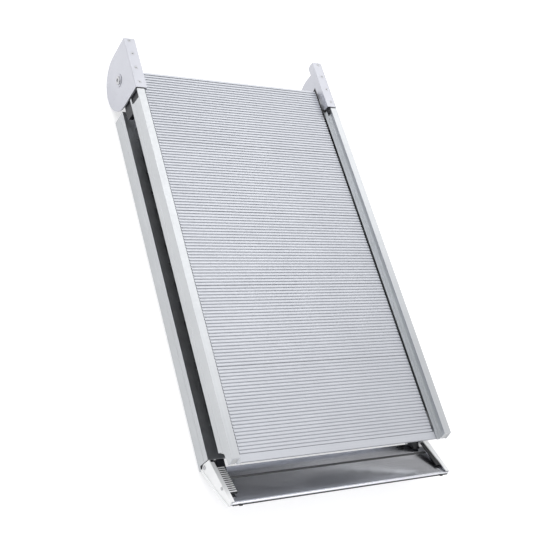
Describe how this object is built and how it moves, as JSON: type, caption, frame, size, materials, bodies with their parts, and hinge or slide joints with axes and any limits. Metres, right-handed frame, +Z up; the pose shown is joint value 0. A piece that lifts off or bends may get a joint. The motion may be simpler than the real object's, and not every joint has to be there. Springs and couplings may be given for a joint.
{
  "type": "folding pet ramp",
  "caption": "Two-panel folding aluminium pet ramp, shown folded: ribbed treads between curbed side rails, fold hinge with covers, hinged end lip.",
  "frame": {"origin": "under the middle of the folded ramp, at the height of the lowest point of the hinge covers", "axes": "+X across the ramp to its right, +Y along the panels towards the fold hinge, +Z up out of panel A's tread"},
  "size_m": [0.4298, 0.8339, 0.1085],
  "materials": {
    "anodised_rail": "satin anodised",
    "ribbed_tread": "satin anodised, fine transverse ribs",
    "hinge_cover": "satin",
    "lip_sheet": "brushed bright sheet",
    "lip_cheek": "bright satin",
    "steel_fastener": "plated",
    "black_plastic": "moulded",
    "black_rubber": "ribbed, matt",
    "grey_seal": "extruded, matt",
    "grey_end_plug": "moulded"
  },
  "bodies": {
    "panel_b": {"panel_b_rail_left": "anodised_rail", "hinge_arm_b_left": "hinge_cover", "lip_block_left": "black_plastic", "lip_pin_left": "steel_fastener", "panel_b_rail_right": "anodised_rail", "hinge_arm_b_right": "hinge_cover", "lip_block_right": "black_plastic", "lip_pin_right": "steel_fastener", "panel_b_plank_1": "ribbed_tread", "panel_b_plank_2": "ribbed_tread", "panel_b_plank_3": "ribbed_tread", "panel_b_plank_4": "ribbed_tread", "panel_b_plank_5": "ribbed_tread", "panel_b_hinge_nosing": "ribbed_tread"},
    "panel_a": {"panel_a_rail_left": "anodised_rail", "hinge_cover_left": "hinge_cover", "hinge_arm_a_left": "black_plastic", "hinge_pin_left": "steel_fastener", "hinge_washer_left": "hinge_cover", "hinge_spacer_left": "black_plastic", "cover_screw_left_1": "steel_fastener", "cover_screw_left_2": "steel_fastener", "cover_screw_left_3": "steel_fastener", "cover_screw_left_4": "steel_fastener", "panel_a_rail_right": "anodised_rail", "hinge_cover_right": "hinge_cover", "hinge_arm_a_right": "black_plastic", "hinge_pin_right": "steel_fastener", "hinge_washer_right": "hinge_cover", "hinge_spacer_right": "black_plastic", "cover_screw_right_1": "steel_fastener", "cover_screw_right_2": "steel_fastener", "cover_screw_right_3": "steel_fastener", "cover_screw_right_4": "steel_fastener", "panel_a_plank_1": "ribbed_tread", "panel_a_plank_2": "ribbed_tread", "panel_a_plank_3": "ribbed_tread", "panel_a_plank_4": "ribbed_tread", "panel_a_plank_5": "ribbed_tread", "panel_a_hinge_nosing": "ribbed_tread", "panel_a_end_strip": "ribbed_tread", "panel_a_end_plug_left": "grey_end_plug", "panel_a_end_plug_right": "grey_end_plug"},
    "lip": {"lip_cheek_left": "lip_cheek", "lip_cheek_screw_left": "steel_fastener", "lip_grip_strip_left": "black_rubber", "lip_foot_left": "black_rubber", "lip_cheek_right": "lip_cheek", "lip_cheek_screw_right": "steel_fastener", "lip_grip_strip_right": "black_rubber", "lip_foot_right": "black_rubber", "lip_plate": "lip_sheet", "lip_edge_rubber": "black_rubber", "lip_seal": "grey_seal"}
  },
  "joints": [
    {"name": "fold", "type": "hinge", "parent": "panel_b", "child": "panel_a", "pos_m": [0, 0.3638, 0.056], "axis": [-1, 0, 0], "range_deg": [0, 180]},
    {"name": "lip_swing", "type": "hinge", "parent": "panel_b", "child": "lip", "pos_m": [0, -0.3397, 0.022], "axis": [1, 0, 0], "range_deg": [0, 34]}
  ]
}
